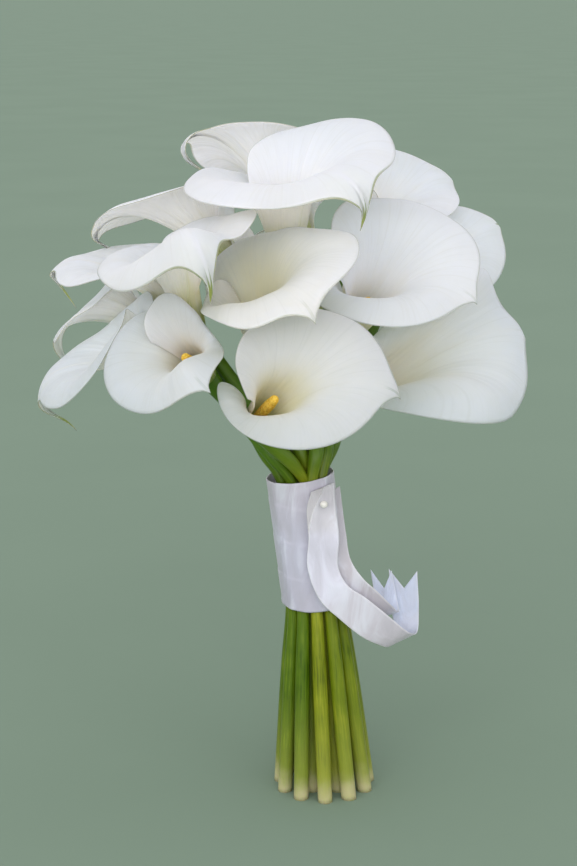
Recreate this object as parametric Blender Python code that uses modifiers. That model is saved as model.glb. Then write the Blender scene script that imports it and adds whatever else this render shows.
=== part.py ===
"""A hand-tied bunch of white calla lilies that stands on its cut stem ends.

Millimetres in the design values, metres in the scene. +Z is up, X runs across the bunch
and -Y is its front. The design values count from the middle of the foot. The row's origin is
the middle of the whole bunch's box, on the surface that it stands on.
"""

import math

import bmesh
import bpy
import numpy as np
from mathutils import Vector

MM = 0.001
COLLECTION = "calla_lily_bunch"

# Each finish: its colour and roughness
FINISHES = {
    "spathe": ((.87, .87, .83), .5),
    "stem": ((.16, .28, .03), .45),
    "spadix": ((.85, .52, .04), .65),
    "ribbon": ((.66, .66, .72), .35),
    "pearl": ((.88, .86, .83), .2),
}

# The middle of the whole bunch's box, from the middle of the foot
BOX_MIDDLE = (-26.1, 19.8)

# Driving dimensions of the bunch
WRAP_FOOT = 112.0
WRAP_HEAD = 188.0
WRAP_FOOT_MIDDLE = (-5.5, 0.0)
WRAP_HEAD_MIDDLE = (-14.7, 0.0)
RING_RADII = (0.0, 7.3, 14.5)
RING_COUNTS = (1, 5, 11)
RING_LEADS = (0, .5, 0)
PLACE_PULL = 0.32
PLACE_LOW = 70.0
TIE_FOOT = 107.0
TIE_HEAD = 193.0
FOOT_SPREAD = 1.75
STEM_IN_WRAP = 3.5
STEM_AT_FOOT = 4.3
STEM_ABOVE = 4.1
STEM_AT_NECK = 6.3
SHEET = 0.9
CLEAR = 0.3
STEM_CLEAR = 1.3
STEM_LEAN = 0.5
RING_GAP = 7.0
WRAP_INSIDE = 18.6
WRAP_SHEET = 0.8
WRAP_SIDES = 24

# Driving dimensions of one bloom of size 1, before each bloom's own changes
BLOOM_LENGTH = 112.0
TIP_LENGTH = 24.0
MOUTH_DEPTH = 62.0
TUBE_RADIUS = 6.2
TUBE_FLARE = 7.0
MARGIN = 204.0
MARGIN_GAP = 1.9
SPADIX_LENGTH = 41.0
SPADIX_RADIUS = 2.9

# How a spathe's length and flare change round the bloom, from the tip at 0 degrees.
# The side at +MARGIN is the inner margin, the side at -MARGIN the outer one.
LENGTH_TURNS = (-204, -190, -165, -125, -80, -35, 0, 35, 80, 125, 165, 190, 204)
LENGTH_SHARES = (.36, .50, .61, .74, .87, .97, 1.0, .97, .87, .74, .62, .54, .45)
FLARE_TURNS = (-204, -165, -120, -60, 0, 60, 120, 165, 204)
FLARE_DEGREES = (95, 96, 92, 80, 66, 80, 88, 74, 50)
START_SHARES = (.20, .25, .34, .42, .46, .42, .38, .38, .40)
LIP_DEGREES = (20, 34, 34, 26, 14, 26, 34, 20, 4)

# How blooms lean on each other: the reach of the give, the gap left, the length of tube that
# stays straight and the plane fit's scale
PRESS_SOFT = 6.0
PRESS_REACH = 1.3
PRESS_GAP = 0.75
PRESS_HOLD = 40.0
PRESS_SCALE = 50.0

# Rings and steps of the stems
SIDES = 7
PATH_STEPS = 21
PATH_TURNS = 220
PATH_PICKS = (2, 5, 8, 11, 14, 16, 18)
TUBE_ROWS = 6
TUBE_PAD = 3.6

# The ribbon's loose tails: each row is a point of its middle line and its half width
RIBBON_SHEET = 0.7
TAIL_CUT = 11.0
FRONT_TAIL = (
    (-2, -16.4, 185, 6.5, 4.8, 1.5),
    (-3, -21.6, 174, 8, 3.2, 0),
    (-1.5, -24.2, 158, 8.5, 1, 0),
    (-2, -24, 141, 8.5, 0, .5),
    (4, -24, 126, 8, 0, 4),
    (15, -23, 116, 7, 0, 6.5),
    (27, -20, 105, 6.5, 0, 7),
    (38, -14, 96, 7, 0, 5),
    (45, -6, 91, 8, 0, 2),
    (47, 2, 96, 8, 0, 0),
    (46, 5, 110, 8, -1, 0),
    (45, 5, 124, 8, -2, 0),
)
REAR_TAIL = (
    (3.4, -11.8, 182, 4.2, 4.4, 1),
    (3.4, -16, 172, 5.6, 3.8, 0),
    (4, -20, 158, 7, 3, 0),
    (6, -21, 143, 7.5, 2, 1),
    (13, -20, 129, 7.5, 0, 4),
    (22, -17, 118, 7, 0, 6),
    (30, -11, 109, 7, 0, 5),
    (35, -3, 105, 7, 0, 2),
    (35, 3, 112, 6.5, 0, 0),
    (33, 5, 124, 6, -1, 0),
)
PEARL_RADIUS = 2.1
PEARL_MIDDLE = (-1.5, -23.4, 177)

# The columns and rows of a spathe's grid
TURNS = (-204, -190, -168, -142, -114, -86, -58, -34, -18, -8.5, -3.2, 0,
         3.2, 8.5, 18, 34, 58, 86, 114, 142, 168, 190, 204)
ROWS = (0, .17, .34, .5, .64, .77, .89, 1.0)


class Bloom:
    """One lily: where its neck is, where its tube aims, and how its spathe opens."""

    def __init__(self, name, mouth, aim, roll, size=1.0, hand=1, tip=1.0, curl=90.0, bends=(),
                 close=(204, 204)):
        self.name = name
        self.aim = aim
        self.roll = roll
        self.size = size
        self.hand = hand
        self.tip = tip
        self.curl = curl
        self.bends = bends
        self.close = close
        self.neck = np.array(mouth, float) - self.axes()[:, 2] * MOUTH_DEPTH * size

    def axes(self):
        """Columns: towards the tip, across, and along the tube."""
        azimuth, rise = (math.radians(a) for a in self.aim)
        along = np.array([math.sin(azimuth) * math.cos(rise),
                          -math.cos(azimuth) * math.cos(rise), math.sin(rise)])
        up = np.array([0, 0, 1.0]) - along[2] * along
        up /= np.linalg.norm(up)
        right = np.cross(up, along)
        roll = math.radians(self.roll)
        tip = up * math.cos(roll) + right * math.sin(roll)
        return np.column_stack([tip, np.cross(along, tip) * self.hand, along])


# Each bloom as it stands in the bunch: the middle of its mouth, its tube's aim as turn and
# rise, and its tip's turn clockwise from the top for someone who looks into the mouth
BLOOMS = (
    Bloom("front_low", (-20, -74, 257), (28, 35), 121, size=.91, tip=.4, curl=150, close=(214, 190),
          bends=((-145, 45, 0, -.33), (-60, 40, 0, -.04))),
    Bloom("front_mid", (-40, -36, 304), (-6, 50), 142, size=1.25, hand=-1, tip=.4, curl=150,
          close=(175, 204), bends=((0, 50, 10, -.08), (145, 45, 0, -.3), (-140, 50, 0, .2))),
    Bloom("front_top", (-22, 5, 352), (2, 58), 146, size=1.22, tip=.7, curl=120,
          bends=((180, 45, -8, .08), (-190, 45, 0, .1), (0, 60, 20, 0), (-90, 40, 6, .08),
                 (115, 45, -8, .06))),
    Bloom("right_mid", (30, -15, 304), (25, 44), 138, size=1.05, tip=.3, curl=150,
          bends=((-130, 40, 0, -.08), (0, 40, 8, -.1), (110, 40, 0, .06), (170, 35, 0, .25))),
    Bloom("right_low", (50, -11, 260), (62, 38), 113, size=1.07, tip=.4, curl=150,
          close=(176, 176),
          bends=((70, 30, 0, .26), (130, 45, -15, -.3), (-60, 35, 0, .05), (-115, 40, 0, .32),
                 (-190, 40, 0, -.3))),
    Bloom("left_low", (-82, -54, 272), (-18, 27), 130, size=.88, tip=.25, curl=170,
          bends=((65, 50, 0, -.4), (0, 25, 0, .15), (-60, 40, 0, -.03))),
    Bloom("left_mid", (-79, -28, 315), (-12, 58), 150, size=.92,
          bends=((0, 25, 10, .22), (-35, 28, 38, .2), (-75, 35, 10, 0), (80, 40, 0, .1))),
    Bloom("left_edge", (-122, 6, 261), (-85, 14), 205, size=.88,
          bends=((-120, 50, 0, -.12),)),
    Bloom("left_top", (-84, 47, 331), (-112, 44), 172, size=.88, bends=((0, 40, 20, 0),)),
    Bloom("left_far", (-109, 28, 302), (-98, 47), 200, size=.78,
          bends=((-160, 45, 0, -.2),)),
    Bloom("left_back", (-128, 48, 278), (-104, 18), 195, size=.66),
    Bloom("back_top", (-30, 62, 354), (-128, 62), 112, size=.85, curl=130),
    Bloom("right_top", (40, 52, 340), (85, 50), 120, size=.72, tip=.4, bends=((-40, 40, 10, 0),)),
    Bloom("right_far", (66, 46, 308), (68, 42), 100, size=.7, tip=.4),
    Bloom("back_left", (-56, 94, 304), (-148, 44), 180, size=.78),
    Bloom("back_mid", (12, 104, 286), (160, 32), 180, size=.78),
    Bloom("back_right", (62, 86, 250), (125, 26), 180, size=.74),
)


# The blooms that lean on each other, and the first row that counts where they do
LEANS = (
    ("front_mid", "left_mid", 3),
    ("front_mid", "left_low", 3),
    ("front_mid", "front_top", 3),
    ("front_mid", "left_top", 3),
    ("front_top", "left_top", 3),
    ("front_top", "back_top", 3),
    ("right_mid", "right_low", 1),
    ("right_low", "right_far", 3),
    ("left_low", "left_edge", 3),
    ("left_mid", "left_top", 3),
    ("left_top", "left_far", 3),
    ("left_edge", "left_back", 3),
    ("left_far", "left_back", 3),
    ("right_top", "right_far", 3),
    ("right_far", "back_right", 3),
)


def smooth(x, knots, values):
    """A smooth curve through the knots, with the slope at each taken across its neighbours."""
    knots, values = np.array(knots, float), np.array(values, float)
    slopes = np.gradient(values, knots)
    x = np.clip(x, knots[0], knots[-1])
    i = np.clip(np.searchsorted(knots, x, side="right") - 1, 0, len(knots) - 2)
    step = knots[i + 1] - knots[i]
    t = (x - knots[i]) / step
    return ((1 + 2 * t) * (1 - t) ** 2 * values[i] + t * (1 - t) ** 2 * step * slopes[i]
            + t * t * (3 - 2 * t) * values[i + 1] + t * t * (t - 1) * step * slopes[i + 1])


def eased(t):
    t = np.clip(t, 0, 1)
    return t * t * (3 - 2 * t)


def spathe_points(bloom, turns=TURNS, rows=ROWS, fine=64):
    """The spathe's middle surface as an array of rows by columns by 3, in the row frame."""
    turns = np.array(turns, float)
    length = BLOOM_LENGTH * bloom.size * smooth(turns, LENGTH_TURNS, LENGTH_SHARES)
    flare = smooth(turns, FLARE_TURNS, FLARE_DEGREES)
    start = smooth(turns, FLARE_TURNS, START_SHARES)
    lip = smooth(turns, FLARE_TURNS, LIP_DEGREES)
    for middle, width, swing, stretch in bloom.bends:
        hit = np.exp(-((turns - middle) / width) ** 2)
        flare = flare + swing * hit
        length = length * (1 + stretch * hit)
    cusp = TIP_LENGTH * bloom.tip * np.clip(1 - np.abs(turns) / 30, 0, 1) ** 3.6
    whole = length + cusp
    # The share of the plain length travelled, which runs past 1 on the tip
    share = np.linspace(0, 1, fine)[:, None] * (whole / length)[None, :]
    opening = np.clip((share - start) / (1 - start), 0, 1) ** 1.35
    angle = TUBE_FLARE + (flare - TUBE_FLARE) * opening + lip * eased((share - .78) / .22)
    past = np.clip(share - 1, 0, None) * length / TIP_LENGTH
    angle = np.radians(angle + bloom.curl * past)
    step = whole / (fine - 1)
    out = np.cumsum(np.sin(angle) * step, axis=0)
    up = np.cumsum(np.cos(angle) * step, axis=0)
    out -= out[0]
    up -= up[0]
    picks = np.array(rows) * (fine - 1)
    low = np.clip(np.floor(picks).astype(int), 0, fine - 2)
    part = (picks - low)[:, None]
    out = out[low] * (1 - part) + out[low + 1] * part
    up = up[low] * (1 - part) + up[low + 1] * part
    out = out + TUBE_RADIUS - turns / MARGIN * MARGIN_GAP / 2
    azimuth = np.radians(turns / MARGIN * np.where(turns > 0, *bloom.close))
    local = np.stack([out * np.cos(azimuth), out * np.sin(azimuth), up], axis=-1)
    return local @ bloom.axes().T + bloom.neck


def parting_plane(one, other):
    """The plane that parts two clouds of points best, as its normal and distance."""
    cloud = np.vstack([one, other])
    middle = cloud.mean(axis=0)
    rows = np.column_stack([(cloud - middle) / PRESS_SCALE, np.ones(len(cloud))])
    side = np.concatenate([np.zeros(len(one)), np.ones(len(other))])
    weights = np.append((other.mean(axis=0) - one.mean(axis=0)) / PRESS_SCALE, 0.0)
    for _ in range(12):
        chance = 1 / (1 + np.exp(-np.clip(rows @ weights, -30, 30)))
        slope = rows.T @ (side - chance) - .02 * weights
        bend = (rows * (chance * (1 - chance))[:, None]).T @ rows + .02 * np.eye(4)
        weights = weights + np.linalg.solve(bend, slope)
    length = np.linalg.norm(weights[:3])
    normal = weights[:3] / length
    return normal, normal @ middle - weights[3] / length * PRESS_SCALE


def find_presses(spathes):
    """For each bloom, the planes of the neighbours that it leans on and how far it passes them."""
    presses = {name: [] for name in spathes}
    for one, other, row in LEANS:
        clouds = {name: spathes[name][row:].reshape(-1, 3) for name in (one, other)}
        normal, offset = parting_plane(clouds[one], clouds[other])
        for name, side in ((one, 1), (other, -1)):
            past = (side * (clouds[name] @ normal - offset)).max()
            if past > -PRESS_GAP:
                presses[name].append((side * normal, side * offset, past))
    return presses


def pressed(bloom, points, planes):
    """The points eased back from the bloom's planes, evenly, and not at all at the neck."""
    rise = (points - bloom.neck) @ bloom.axes()[:, 2]
    hold = eased(rise / (PRESS_HOLD * bloom.size))
    moved = points
    for normal, offset, past in planes:
        depth = np.minimum(moved @ normal - offset, past)
        reach = PRESS_REACH * past + PRESS_SOFT
        give = (past + PRESS_GAP) / (past + reach) ** 2
        move = give * np.clip(depth + reach, 0, None) ** 2 * hold
        moved = moved - move[..., None] * normal
    return moved


def grid_mesh(name, points):
    """An open sheet through a grid of points in millimetres."""
    rows, columns = points.shape[:2]
    mesh = bpy.data.meshes.new(name)
    faces = [(r * columns + c, r * columns + c + 1, (r + 1) * columns + c + 1, (r + 1) * columns + c)
             for r in range(rows - 1) for c in range(columns - 1)]
    mesh.from_pydata([tuple(p * MM) for p in points.reshape(-1, 3)], [], faces)
    return mesh


def ring(middle, along, radius, sides, start=0.0):
    """A ring of points round a middle, square to a direction."""
    along = along / np.linalg.norm(along)
    across = np.array([1.0, 0, 0]) - along[0] * along
    across /= np.linalg.norm(across)
    other = np.cross(along, across)
    turn = np.linspace(0, 2 * np.pi, sides, endpoint=False) + start
    return middle + radius * (np.cos(turn)[:, None] * across + np.sin(turn)[:, None] * other)


def rod_mesh(name, rings):
    """A closed rod through rings of points in millimetres."""
    sides = len(rings[0])
    mesh = bpy.data.meshes.new(name)
    faces = [(r * sides + c, r * sides + (c + 1) % sides, (r + 1) * sides + (c + 1) % sides, (r + 1) * sides + c)
             for r in range(len(rings) - 1) for c in range(sides)]
    faces.append(tuple(range(sides))[::-1])
    last = (len(rings) - 1) * sides
    faces.append(tuple(range(last, last + sides)))
    mesh.from_pydata([tuple(p * MM) for p in np.vstack(rings)], [], faces)
    return mesh


def tie_middle(height):
    """The middle of the wrapped stems at a height."""
    share = (height - WRAP_FOOT) / (WRAP_HEAD - WRAP_FOOT)
    return np.array(WRAP_FOOT_MIDDLE) * (1 - share) + np.array(WRAP_HEAD_MIDDLE) * share


def stem_places(blooms):
    """Each stem's place in the wrap, from its middle: the places shared out by where the necks are."""
    places = []
    for radius, count, lead in zip(RING_RADII, RING_COUNTS, RING_LEADS):
        for i in range(count):
            turn = 2 * np.pi * (i + lead) / count
            places.append([radius * np.sin(turn), -radius * np.cos(turn)])
    places = np.array(places)
    wanted = np.array([(bloom.neck[:2] - tie_middle(TIE_HEAD)) * PLACE_PULL
                       * (1 + PLACE_LOW / (bloom.neck[2] - TIE_HEAD)) for bloom in blooms])
    order = list(range(len(blooms)))
    better = True
    while better:
        better = False
        for i in range(len(order)):
            for j in range(i + 1, len(order)):
                now = ((places[order[i]] - wanted[i]) ** 2).sum() + ((places[order[j]] - wanted[j]) ** 2).sum()
                then = ((places[order[j]] - wanted[i]) ** 2).sum() + ((places[order[i]] - wanted[j]) ** 2).sum()
                if then < now - 1e-6:
                    order[i], order[j] = order[j], order[i]
                    better = True
    return places[order]


def free_paths(blooms, places, spathes):
    """The stems' middle lines from the tie to the necks, pushed clear of each other and the spathes."""
    share = np.linspace(0, 1, PATH_STEPS)[:, None]
    paths = []
    for bloom, place in zip(blooms, places):
        first = np.array([*(tie_middle(TIE_HEAD) + place), TIE_HEAD])
        last = bloom.neck
        reach = np.linalg.norm(last - first)
        rise = (np.array([0, 0, 1.0]) * (1 - STEM_LEAN) * reach + (last - first) * STEM_LEAN) * .8
        along = bloom.axes()[:, 2] * reach * .9
        paths.append((1 + 2 * share) * (1 - share) ** 2 * first + share * (1 - share) ** 2 * rise
                     + share ** 2 * (3 - 2 * share) * last + share ** 2 * (share - 1) * along)
    count = len(blooms)
    paths = np.array(paths)
    tubes = np.array([spathes[bloom.name][:TUBE_ROWS, ::2].reshape(-1, 3) for bloom in blooms])
    tube_owner = np.repeat(np.arange(count), tubes.shape[1])
    tubes = tubes.reshape(-1, 3)
    owner = np.repeat(np.arange(count), PATH_STEPS)
    swell = np.clip(np.linspace(0, 5, PATH_STEPS), 0, 1)
    radius = np.tile(STEM_IN_WRAP + (STEM_ABOVE - STEM_IN_WRAP) * swell, count)
    near_neck = np.tile(np.clip(np.linspace(-9, 1, PATH_STEPS), 0, 1), count)
    radius = radius + near_neck * (STEM_AT_NECK - STEM_ABOVE)
    loose = np.clip(np.minimum(np.linspace(0, 10, PATH_STEPS), np.linspace(6, 0, PATH_STEPS)), 0, 1)
    loose = np.tile(loose, count)[:, None]
    for turn in range(PATH_TURNS):
        flat = paths.reshape(-1, 3)
        gap = flat[:, None] - flat[None]
        far = np.sqrt((gap ** 2).sum(axis=2)) + 1e-6
        need = radius[:, None] + radius[None] + STEM_CLEAR
        hit = np.clip(need - far, 0, None) * (owner[:, None] != owner[None]) / far
        push = (gap * hit[..., None]).sum(axis=1) * .3
        gap = flat[:, None] - tubes[None]
        far = np.sqrt((gap ** 2).sum(axis=2)) + 1e-6
        need = radius[:, None] + TUBE_PAD
        hit = np.clip(need - far, 0, None) * (owner[:, None] != tube_owner[None]) / far
        push += (gap * hit[..., None]).sum(axis=1) * .4
        paths = (flat + push * loose).reshape(count, PATH_STEPS, 3)
        middle = (paths[:, :-2] + paths[:, 2:]) / 2
        ease = loose.reshape(count, PATH_STEPS, 1)[:, 1:-1] * (.3 if turn < PATH_TURNS - 25 else .03)
        paths[:, 1:-1] += (middle - paths[:, 1:-1]) * ease
    return paths


def stem_rings(bloom, place, path):
    """The stem's rings: level as far as the tie, square to the path above it."""
    up = np.array([0, 0, 1.0])
    foot = place * FOOT_SPREAD
    knee = tie_middle(TIE_FOOT) + place
    rings = []
    for share, radius in ((0, STEM_AT_FOOT), (.75, STEM_ABOVE)):
        middle = foot * (1 - share) + knee * share
        rings.append(ring(np.array([*middle, TIE_FOOT * share]), up, radius, SIDES))
    for height in (TIE_FOOT, TIE_HEAD):
        middle = tie_middle(height) + place
        rings.append(ring(np.array([*middle, height]), up, STEM_IN_WRAP, SIDES))
    last = path[0]
    for i in PATH_PICKS:
        if min(np.linalg.norm(path[i] - last), np.linalg.norm(path[i] - path[-1])) < RING_GAP:
            continue
        rings.append(ring(path[i], path[i + 1] - path[i - 1], STEM_ABOVE, SIDES))
        last = path[i]
    along = bloom.axes()[:, 2]
    rings.append(ring(path[-1] - along * CLEAR, along, STEM_AT_NECK, SIDES))
    return rings


def spadix_rings(bloom):
    """The spadix's rings, up the middle of the tube from just above the neck."""
    along = bloom.axes()[:, 2]
    long = SPADIX_LENGTH * bloom.size
    rings = []
    for share, radius in ((0, .8), (.12, .86), (.5, 1.0), (.82, .9), (.95, .6), (1.0, .22)):
        rings.append(ring(bloom.neck + along * (CLEAR + share * long), along, radius * SPADIX_RADIUS, SIDES))
    return rings


def add_wrap():
    """The ribbon wound round the stems: an open sleeve, leaning as the wrapped stems do."""
    foot = Vector((*WRAP_FOOT_MIDDLE, WRAP_FOOT))
    head = Vector((*WRAP_HEAD_MIDDLE, WRAP_HEAD))
    radius = (WRAP_INSIDE + WRAP_SHEET / 2) * MM
    mesh = bpy.data.meshes.new("ribbon_wrap")
    shape = bmesh.new()
    bmesh.ops.create_cone(shape, segments=WRAP_SIDES, radius1=radius, radius2=radius,
                          depth=(head - foot).length * MM)
    shape.to_mesh(mesh)
    shape.free()
    wrap = add(mesh, "ribbon")
    wrap.location = (foot + head) / 2 * MM
    wrap.rotation_euler = (head - foot).to_track_quat("Z", "Y").to_euler()
    thicken(wrap, WRAP_SHEET)


def tail_points(stations, columns=5, rows=17):
    """A ribbon tail as a grid: a smooth run through its stations, with a V cut at its end."""
    stations = np.array(stations, float)
    knots = np.arange(len(stations))
    along = np.linspace(0, len(stations) - 1, rows)
    line = np.column_stack([smooth(along, knots, stations[:, i]) for i in range(3)])
    half = np.column_stack([smooth(along, knots, stations[:, i]) for i in range(3, 6)])
    across = np.linspace(-1, 1, columns)
    points = line[:, None] + half[:, None] * across[None, :, None]
    step = line[-1] - line[-2]
    step /= np.linalg.norm(step)
    points[-1] += step * (np.abs(across)[:, None] * TAIL_CUT - TAIL_CUT * .5)
    return points


def add(mesh, finish):
    """The mesh as an object in the bunch's collection, with its finish."""
    colour, roughness = FINISHES[finish]
    material = bpy.data.materials.get(finish) or bpy.data.materials.new(finish)
    material.use_nodes = True
    shader = material.node_tree.nodes["Principled BSDF"]
    shader.inputs["Base Color"].default_value = (*colour, 1)
    shader.inputs["Roughness"].default_value = roughness
    shader.inputs["Metallic"].default_value = 0.0
    mesh.materials.append(material)
    obj = bpy.data.objects.new(mesh.name, mesh)
    obj.parent = bpy.data.objects[COLLECTION]
    bpy.data.collections[COLLECTION].objects.link(obj)
    return obj


def thicken(obj, thickness):
    sheet = obj.modifiers.new("sheet", "SOLIDIFY")
    sheet.thickness = thickness * MM
    sheet.offset = 0


def add_sheet(name, points, thickness, finish):
    mesh = grid_mesh(name, points)
    mesh.shade_smooth()
    thicken(add(mesh, finish), thickness)


def add_pearl():
    mesh = bpy.data.meshes.new("pearl")
    shape = bmesh.new()
    bmesh.ops.create_uvsphere(shape, u_segments=12, v_segments=8, radius=PEARL_RADIUS * MM)
    shape.to_mesh(mesh)
    shape.free()
    add(mesh, "pearl").location = Vector(PEARL_MIDDLE) * MM


def main():
    for old in list(bpy.data.objects):
        bpy.data.objects.remove(old)
    collection = bpy.data.collections.new(COLLECTION)
    bpy.context.scene.collection.children.link(collection)
    origin = bpy.data.objects.new(COLLECTION, None)
    origin.location = Vector((-BOX_MIDDLE[0], -BOX_MIDDLE[1], 0)) * MM
    collection.objects.link(origin)
    plain = {bloom.name: spathe_points(bloom) for bloom in BLOOMS}
    presses = find_presses(plain)
    spathes = {bloom.name: pressed(bloom, plain[bloom.name], presses[bloom.name]) for bloom in BLOOMS}
    places = stem_places(BLOOMS)
    paths = free_paths(BLOOMS, places, spathes)
    for bloom, place, path in zip(BLOOMS, places, paths):
        add_sheet("spathe_" + bloom.name, spathes[bloom.name], SHEET, "spathe")
        add(rod_mesh("stem_" + bloom.name, stem_rings(bloom, place, path)), "stem")
        spadix = [pressed(bloom, points, presses[bloom.name]) for points in spadix_rings(bloom)]
        add(rod_mesh("spadix_" + bloom.name, spadix), "spadix")
    add_wrap()
    add_sheet("ribbon_tail_front", tail_points(FRONT_TAIL), RIBBON_SHEET, "ribbon")
    add_sheet("ribbon_tail_rear", tail_points(REAR_TAIL), RIBBON_SHEET, "ribbon")
    add_pearl()


if __name__ == "__main__":
    main()
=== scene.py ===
"""The looks of a hand-tied bunch of white calla lilies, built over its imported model.

The design values are in millimetres from the middle of the foot, as in the model's own
source: the pieces are the same shapes, worked out more finely. Everything in the scene is in
metres, with the middle of the whole bunch's box as the origin.
"""

import math

import bmesh
import bpy
import numpy as np
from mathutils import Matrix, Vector


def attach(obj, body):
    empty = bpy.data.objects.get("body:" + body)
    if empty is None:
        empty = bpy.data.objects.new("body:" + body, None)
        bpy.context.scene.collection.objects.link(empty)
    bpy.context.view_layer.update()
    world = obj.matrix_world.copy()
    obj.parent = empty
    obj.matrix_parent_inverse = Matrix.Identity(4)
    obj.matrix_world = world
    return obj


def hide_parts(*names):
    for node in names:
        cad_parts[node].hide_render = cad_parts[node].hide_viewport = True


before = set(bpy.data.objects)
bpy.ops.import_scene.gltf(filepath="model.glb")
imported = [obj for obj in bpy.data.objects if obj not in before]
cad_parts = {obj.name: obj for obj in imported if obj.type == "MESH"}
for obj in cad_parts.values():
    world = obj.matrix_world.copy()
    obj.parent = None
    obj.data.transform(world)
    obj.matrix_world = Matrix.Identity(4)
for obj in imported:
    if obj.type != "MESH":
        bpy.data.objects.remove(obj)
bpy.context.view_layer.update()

MM = 0.001

# The middle of the whole bunch's box, from the middle of the foot
BOX_MIDDLE = (-26.1, 19.8)

# Driving dimensions of the bunch
WRAP_FOOT = 112.0
WRAP_HEAD = 188.0
WRAP_FOOT_MIDDLE = (-5.5, 0.0)
WRAP_HEAD_MIDDLE = (-14.7, 0.0)
RING_RADII = (0.0, 7.3, 14.5)
RING_COUNTS = (1, 5, 11)
RING_LEADS = (0, .5, 0)
PLACE_PULL = 0.32
PLACE_LOW = 70.0
TIE_FOOT = 107.0
TIE_HEAD = 193.0
FOOT_SPREAD = 1.75
STEM_IN_WRAP = 3.5
STEM_AT_FOOT = 4.3
STEM_ABOVE = 4.1
STEM_AT_NECK = 6.3
CLEAR = 0.3
STEM_CLEAR = 1.3
STEM_LEAN = 0.5
RING_GAP = 7.0
WRAP_INSIDE = 18.6

# Driving dimensions of one bloom of size 1, before each bloom's own changes
BLOOM_LENGTH = 112.0
TIP_LENGTH = 24.0
MOUTH_DEPTH = 62.0
TUBE_RADIUS = 6.2
TUBE_FLARE = 7.0
MARGIN = 204.0
MARGIN_GAP = 1.9
SPADIX_LENGTH = 41.0
SPADIX_RADIUS = 2.9

# How a spathe runs out: its tip's half width in degrees and how sharply that narrows, how
# slowly the mouth opens, and where the lip starts and how far it runs, as shares of the length
TIP_SIDE = 30.0
TIP_POWER = 3.6
OPENING_POWER = 1.35
LIP_START = 0.78
LIP_REACH = 0.22

# How a spathe's length and flare change round the bloom, from the tip at 0 degrees.
# The side at +MARGIN is the inner margin, the side at -MARGIN the outer one.
LENGTH_TURNS = (-204, -190, -165, -125, -80, -35, 0, 35, 80, 125, 165, 190, 204)
LENGTH_SHARES = (.36, .50, .61, .74, .87, .97, 1.0, .97, .87, .74, .62, .54, .45)
FLARE_TURNS = (-204, -165, -120, -60, 0, 60, 120, 165, 204)
FLARE_DEGREES = (95, 96, 92, 80, 66, 80, 88, 74, 50)
START_SHARES = (.20, .25, .34, .42, .46, .42, .38, .38, .40)
LIP_DEGREES = (20, 34, 34, 26, 14, 26, 34, 20, 4)

# How blooms lean on each other: the reach of the give, the gap left, the length of tube that
# stays straight, and the plane fit's scale, turns and ease
PRESS_SOFT = 6.0
PRESS_REACH = 1.3
PRESS_GAP = 0.75
PRESS_HOLD = 40.0
PRESS_SCALE = 50.0
PLANE_TURNS = 12
PLANE_EASE = 0.02

# The stems' paths, as in the model: their steps, turns and picked points, the tubes that they
# clear, how hard they are pushed and evened out, how far their ends pull, and how far from
# foot to tie the second station lies
PATH_STEPS = 21
PATH_TURNS = 220
PATH_PICKS = (2, 5, 8, 11, 14, 16, 18)
TUBE_ROWS = 6
TUBE_PAD = 3.6
STEM_PUSH = 0.3
TUBE_PUSH = 0.4
PATH_EASE = 0.3
LAST_EASE = 0.03
LAST_TURNS = 25
START_PULL = 0.8
END_PULL = 0.9
KNEE_SHARE = 0.75

# A stem's rod: the step between its rings, its sides, how oval it is, the length of one unit
# of its map, and how far round the tie's head its rings turn from level to square
STEM_STEP = 3.0
STEM_SIDES = 18
STEM_OVAL = 0.03
STEM_MAP = 100
TIE_EASE = 12

# A spadix's rod: the sides of a ring, how far its florets stand out and how its rings turn
SPADIX_SIDES = 28
FLORET = 0.05
FLORET_TURN = 0.11

# The wound ribbon: its thickness, less than the solid's, how far its outside lies past
# WRAP_INSIDE, the rise of one turn, the step at a lap with its climb, edge and fall as shares
# of a turn, how far its foot is drawn up and over what height, the turn where the foot is
# lowest, and the columns and rows of its grid
WRAP_SHEET = 0.5
WRAP_OUT = 0.35
WRAP_PITCH = 21.0
WRAP_LAP = 0.22
LAP_CLIMB = 0.9
LAP_EDGE = 0.93
LAP_FALL = 0.07
WRAP_SLANT = 5.0
WRAP_SLANT_HEIGHT = 25
WRAP_LOW_TURN = -1.1
WRAP_GRID = (120, 90)

# The loose tails: their thickness, the depth of the V cut, and the columns and rows of their
# grids. The rows left out of the width that is declared. In each table, a row is a point of
# the middle line and its half width
TAIL_SHEET = 0.4
TAIL_CUT = 11.0
TAIL_GRID = (17, 120)
FRONT_TAIL = (
    (-2, -16.4, 185, 6.5, 4.8, 1.5),
    (-3, -21.6, 174, 8, 3.2, 0),
    (-1.5, -24.2, 158, 8.5, 1, 0),
    (-2, -24, 141, 8.5, 0, .5),
    (4, -24, 126, 8, 0, 4),
    (15, -23, 116, 7, 0, 6.5),
    (27, -20, 105, 6.5, 0, 7),
    (38, -14, 95.5, 7, 0, 4.6),
    (42.5, -9.5, 92.2, 6.8, 0, 4.0),
    (45.5, -3.5, 91.2, 6.8, 0, 3.0),
    (46.8, 1.5, 94.5, 7.0, 0, 2.0),
    (46.6, 4.5, 102, 7.5, 0, 1.0),
    (46, 5, 110, 8, -1, 0),
    (45, 5, 124, 8, -2, 0),
)
REAR_TAIL = (
    (3.4, -11.8, 182, 4.2, 4.4, 1),
    (3.4, -16, 172, 5.6, 3.8, 0),
    (4, -20, 158, 7, 3, 0),
    (6, -21, 143, 7.5, 2, 1),
    (13, -20, 129, 7.5, 0, 4),
    (22, -17, 118, 7, 0, 6),
    (30, -11, 109, 7, 0, 5),
    (35, -3, 105, 7, 0, 2),
    (35, 3, 112, 6.5, 0, 0),
    (33, 5, 124, 6, -1, 0),
)
PEARL_RADIUS = 2.1
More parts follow.
